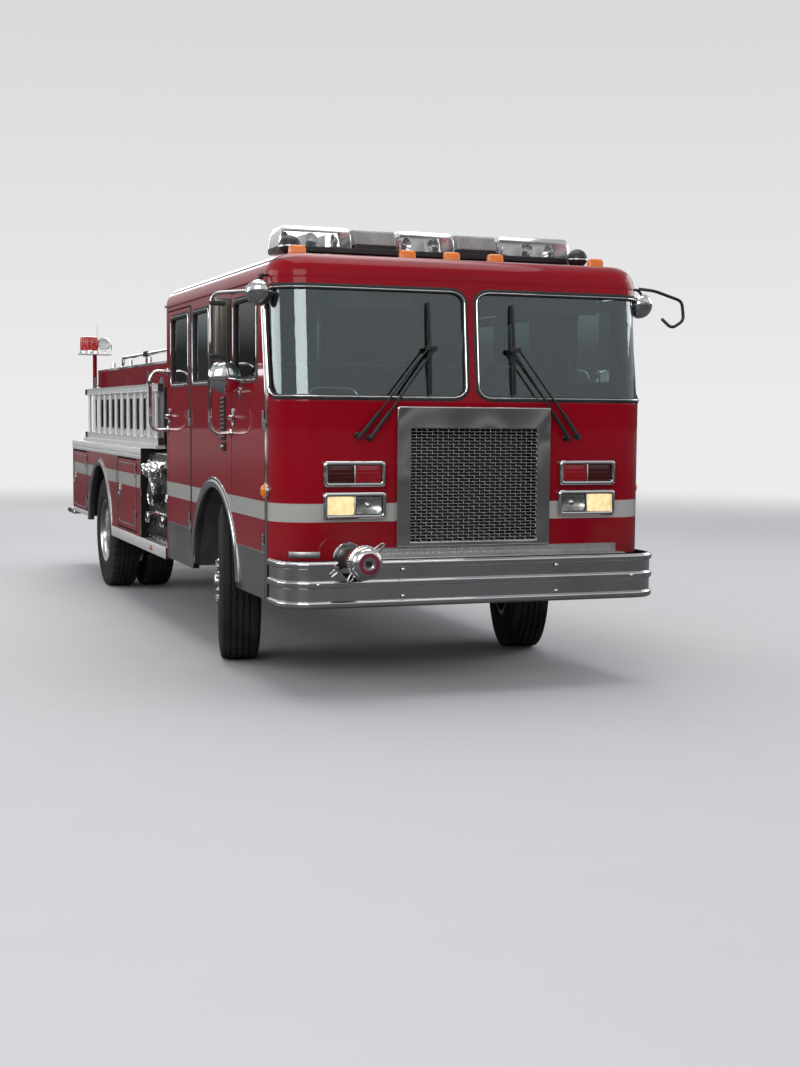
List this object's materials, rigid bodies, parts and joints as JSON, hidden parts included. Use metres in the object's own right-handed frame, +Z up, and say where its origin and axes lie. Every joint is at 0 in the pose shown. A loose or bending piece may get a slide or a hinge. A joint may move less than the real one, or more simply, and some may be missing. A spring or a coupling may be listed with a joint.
{
  "type": "fire engine",
  "caption": "Cab-forward fire engine with a four-door crew cab, midship pump, side ladder, hose bed, opening doors, steered front wheels and twin rear wheels.",
  "frame": {"origin": "on the ground under the middle of the vehicle's bounding box", "axes": "+Y towards the tail, the front faces -Y; +X towards the vehicle's left side; +Z up"},
  "size_m": [2.99, 8.873, 2.855],
  "materials": {
    "red_paint": "gloss",
    "chassis_black": "satin",
    "engine_grey": "cast",
    "cab_trim": "textured",
    "window_glass": "clear tint",
    "polished_steel": "polished",
    "chrome": "bright",
    "lamp_lens": "moulded lens",
    "clear_lens": "clear moulded",
    "red_lens": "moulded lens",
    "black_plastic": "matte",
    "seat_vinyl": "grained vinyl",
    "pump_panel": "dark satin",
    "tread_plate": "raised tread pattern",
    "ladder_alloy": "extruded",
    "tyre_rubber": "worn rubber",
    "wheel_alloy": "polished"
  },
  "bodies": {
    "chassis": {"chassis_frame": "chassis_black", "engine_block": "engine_grey", "driveline": "chassis_black", "axles": "chassis_black", "leaf_springs": "chassis_black", "cab_floor": "cab_trim", "cab_front": "red_paint", "cab_roof": "red_paint", "cab_back": "red_paint", "cab_side_right": "red_paint", "cab_side_left": "red_paint", "cab_glass": "window_glass", "grille": "polished_steel", "radiator": "chassis_black", "front_bumper": "polished_steel", "front_intake": "chrome", "lamp_bezels": "chrome", "lamp_lenses": "lamp_lens", "wipers": "black_plastic", "light_bar": "clear_lens", "seats": "seat_vinyl", "dashboard": "black_plastic", "bright_trim": "polished_steel", "pump_house": "pump_panel", "pump_fittings": "chrome", "side_compartments": "red_paint", "water_tank": "chassis_black", "hose_bed": "red_paint", "running_boards": "tread_plate", "tailboard": "tread_plate", "ladder_rack": "tread_plate", "ladder": "ladder_alloy", "handrails": "chrome", "beacons": "red_lens"},
    "knuckle_right": {"knuckle_right": "chassis_black"},
    "front_wheel_right": {"front_tyre_right": "tyre_rubber", "front_wheel_right": "wheel_alloy"},
    "rear_wheels_right": {"rear_tyres_right": "tyre_rubber", "rear_wheels_right": "wheel_alloy"},
    "front_door_right": {"front_door_right": "red_paint", "front_door_glass_right": "window_glass", "mirror_right": "chrome"},
    "rear_door_right": {"rear_door_right": "red_paint", "rear_door_glass_right": "window_glass"},
    "front_locker_door_right": {"front_locker_door_right": "red_paint"},
    "rear_locker_door_right": {"rear_locker_door_right": "red_paint"},
    "knuckle_left": {"knuckle_left": "chassis_black"},
    "front_wheel_left": {"front_tyre_left": "tyre_rubber", "front_wheel_left": "wheel_alloy"},
    "rear_wheels_left": {"rear_tyres_left": "tyre_rubber", "rear_wheels_left": "wheel_alloy"},
    "front_door_left": {"front_door_left": "red_paint", "front_door_glass_left": "window_glass", "mirror_left": "chrome"},
    "rear_door_left": {"rear_door_left": "red_paint", "rear_door_glass_left": "window_glass"},
    "front_locker_door_left": {"front_locker_door_left": "red_paint"},
    "rear_locker_door_left": {"rear_locker_door_left": "red_paint"},
    "tie_rod": {"tie_rod": "chassis_black"}
  },
  "joints": [
    {"name": "steer_right", "type": "hinge", "parent": "chassis", "child": "knuckle_right", "pos_m": [-0.93, -2.435, 0.53], "axis": [0, 0, 1], "range_deg": [-22, 48]},
    {"name": "front_wheel_spin_right", "type": "hinge", "parent": "knuckle_right", "child": "front_wheel_right", "pos_m": [-1.03718, -2.41025, 0.53], "axis": [0.9744, -0.225, 0], "continuous": true},
    {"name": "rear_wheels_spin_right", "type": "hinge", "parent": "chassis", "child": "rear_wheels_right", "pos_m": [-1.04, 2.3, 0.53], "axis": [1, 0, 0], "continuous": true},
    {"name": "front_door_right", "type": "hinge", "parent": "chassis", "child": "front_door_right", "pos_m": [-1.229, -3.745, 1.2], "axis": [0, 0, 1], "range_deg": [0, 75]},
    {"name": "rear_door_right", "type": "hinge", "parent": "chassis", "child": "rear_door_right", "pos_m": [-1.229, -1.72, 1.2], "axis": [0, 0, 1], "range_deg": [0, 80]},
    {"name": "front_locker_door_right", "type": "hinge", "parent": "chassis", "child": "front_locker_door_right", "pos_m": [-1.229, 0.383, 0.95], "axis": [0, 0, 1], "range_deg": [0, 95]},
    {"name": "rear_locker_door_right", "type": "hinge", "parent": "chassis", "child": "rear_locker_door_right", "pos_m": [-1.229, 3.065, 0.95], "axis": [0, 0, 1], "range_deg": [0, 95]},
    {"name": "steer_left", "type": "hinge", "parent": "chassis", "child": "knuckle_left", "pos_m": [0.93, -2.435, 0.53], "axis": [0, 0, 1], "range_deg": [-22, 48]},
    {"name": "front_wheel_spin_left", "type": "hinge", "parent": "knuckle_left", "child": "front_wheel_left", "pos_m": [1.03718, -2.45974, 0.53], "axis": [0.9744, -0.225, 0], "continuous": true},
    {"name": "rear_wheels_spin_left", "type": "hinge", "parent": "chassis", "child": "rear_wheels_left", "pos_m": [1.04, 2.3, 0.53], "axis": [1, 0, 0], "continuous": true},
    {"name": "front_door_left", "type": "hinge", "parent": "chassis", "child": "front_door_left", "pos_m": [1.229, -3.745, 1.2], "axis": [0, 0, -1], "range_deg": [0, 75]},
    {"name": "rear_door_left", "type": "hinge", "parent": "chassis", "child": "rear_door_left", "pos_m": [1.229, -1.72, 1.2], "axis": [0, 0, -1], "range_deg": [0, 80]},
    {"name": "front_locker_door_left", "type": "hinge", "parent": "chassis", "child": "front_locker_door_left", "pos_m": [1.229, 0.383, 0.95], "axis": [0, 0, -1], "range_deg": [0, 95]},
    {"name": "rear_locker_door_left", "type": "hinge", "parent": "chassis", "child": "rear_locker_door_left", "pos_m": [1.229, 3.065, 0.95], "axis": [0, 0, -1], "range_deg": [0, 95]},
    {"name": "tie_rod_pivot", "type": "hinge", "parent": "knuckle_right", "child": "tie_rod", "pos_m": [-0.89176, -2.26936, 0.47], "axis": [0, 0, 1], "range_deg": [-48, 22]}
  ],
  "couplings": [
    {"joint": "steer_left", "follows": "steer_right", "ratio": 1},
    {"joint": "tie_rod_pivot", "follows": "steer_right", "ratio": -1}
  ]
}
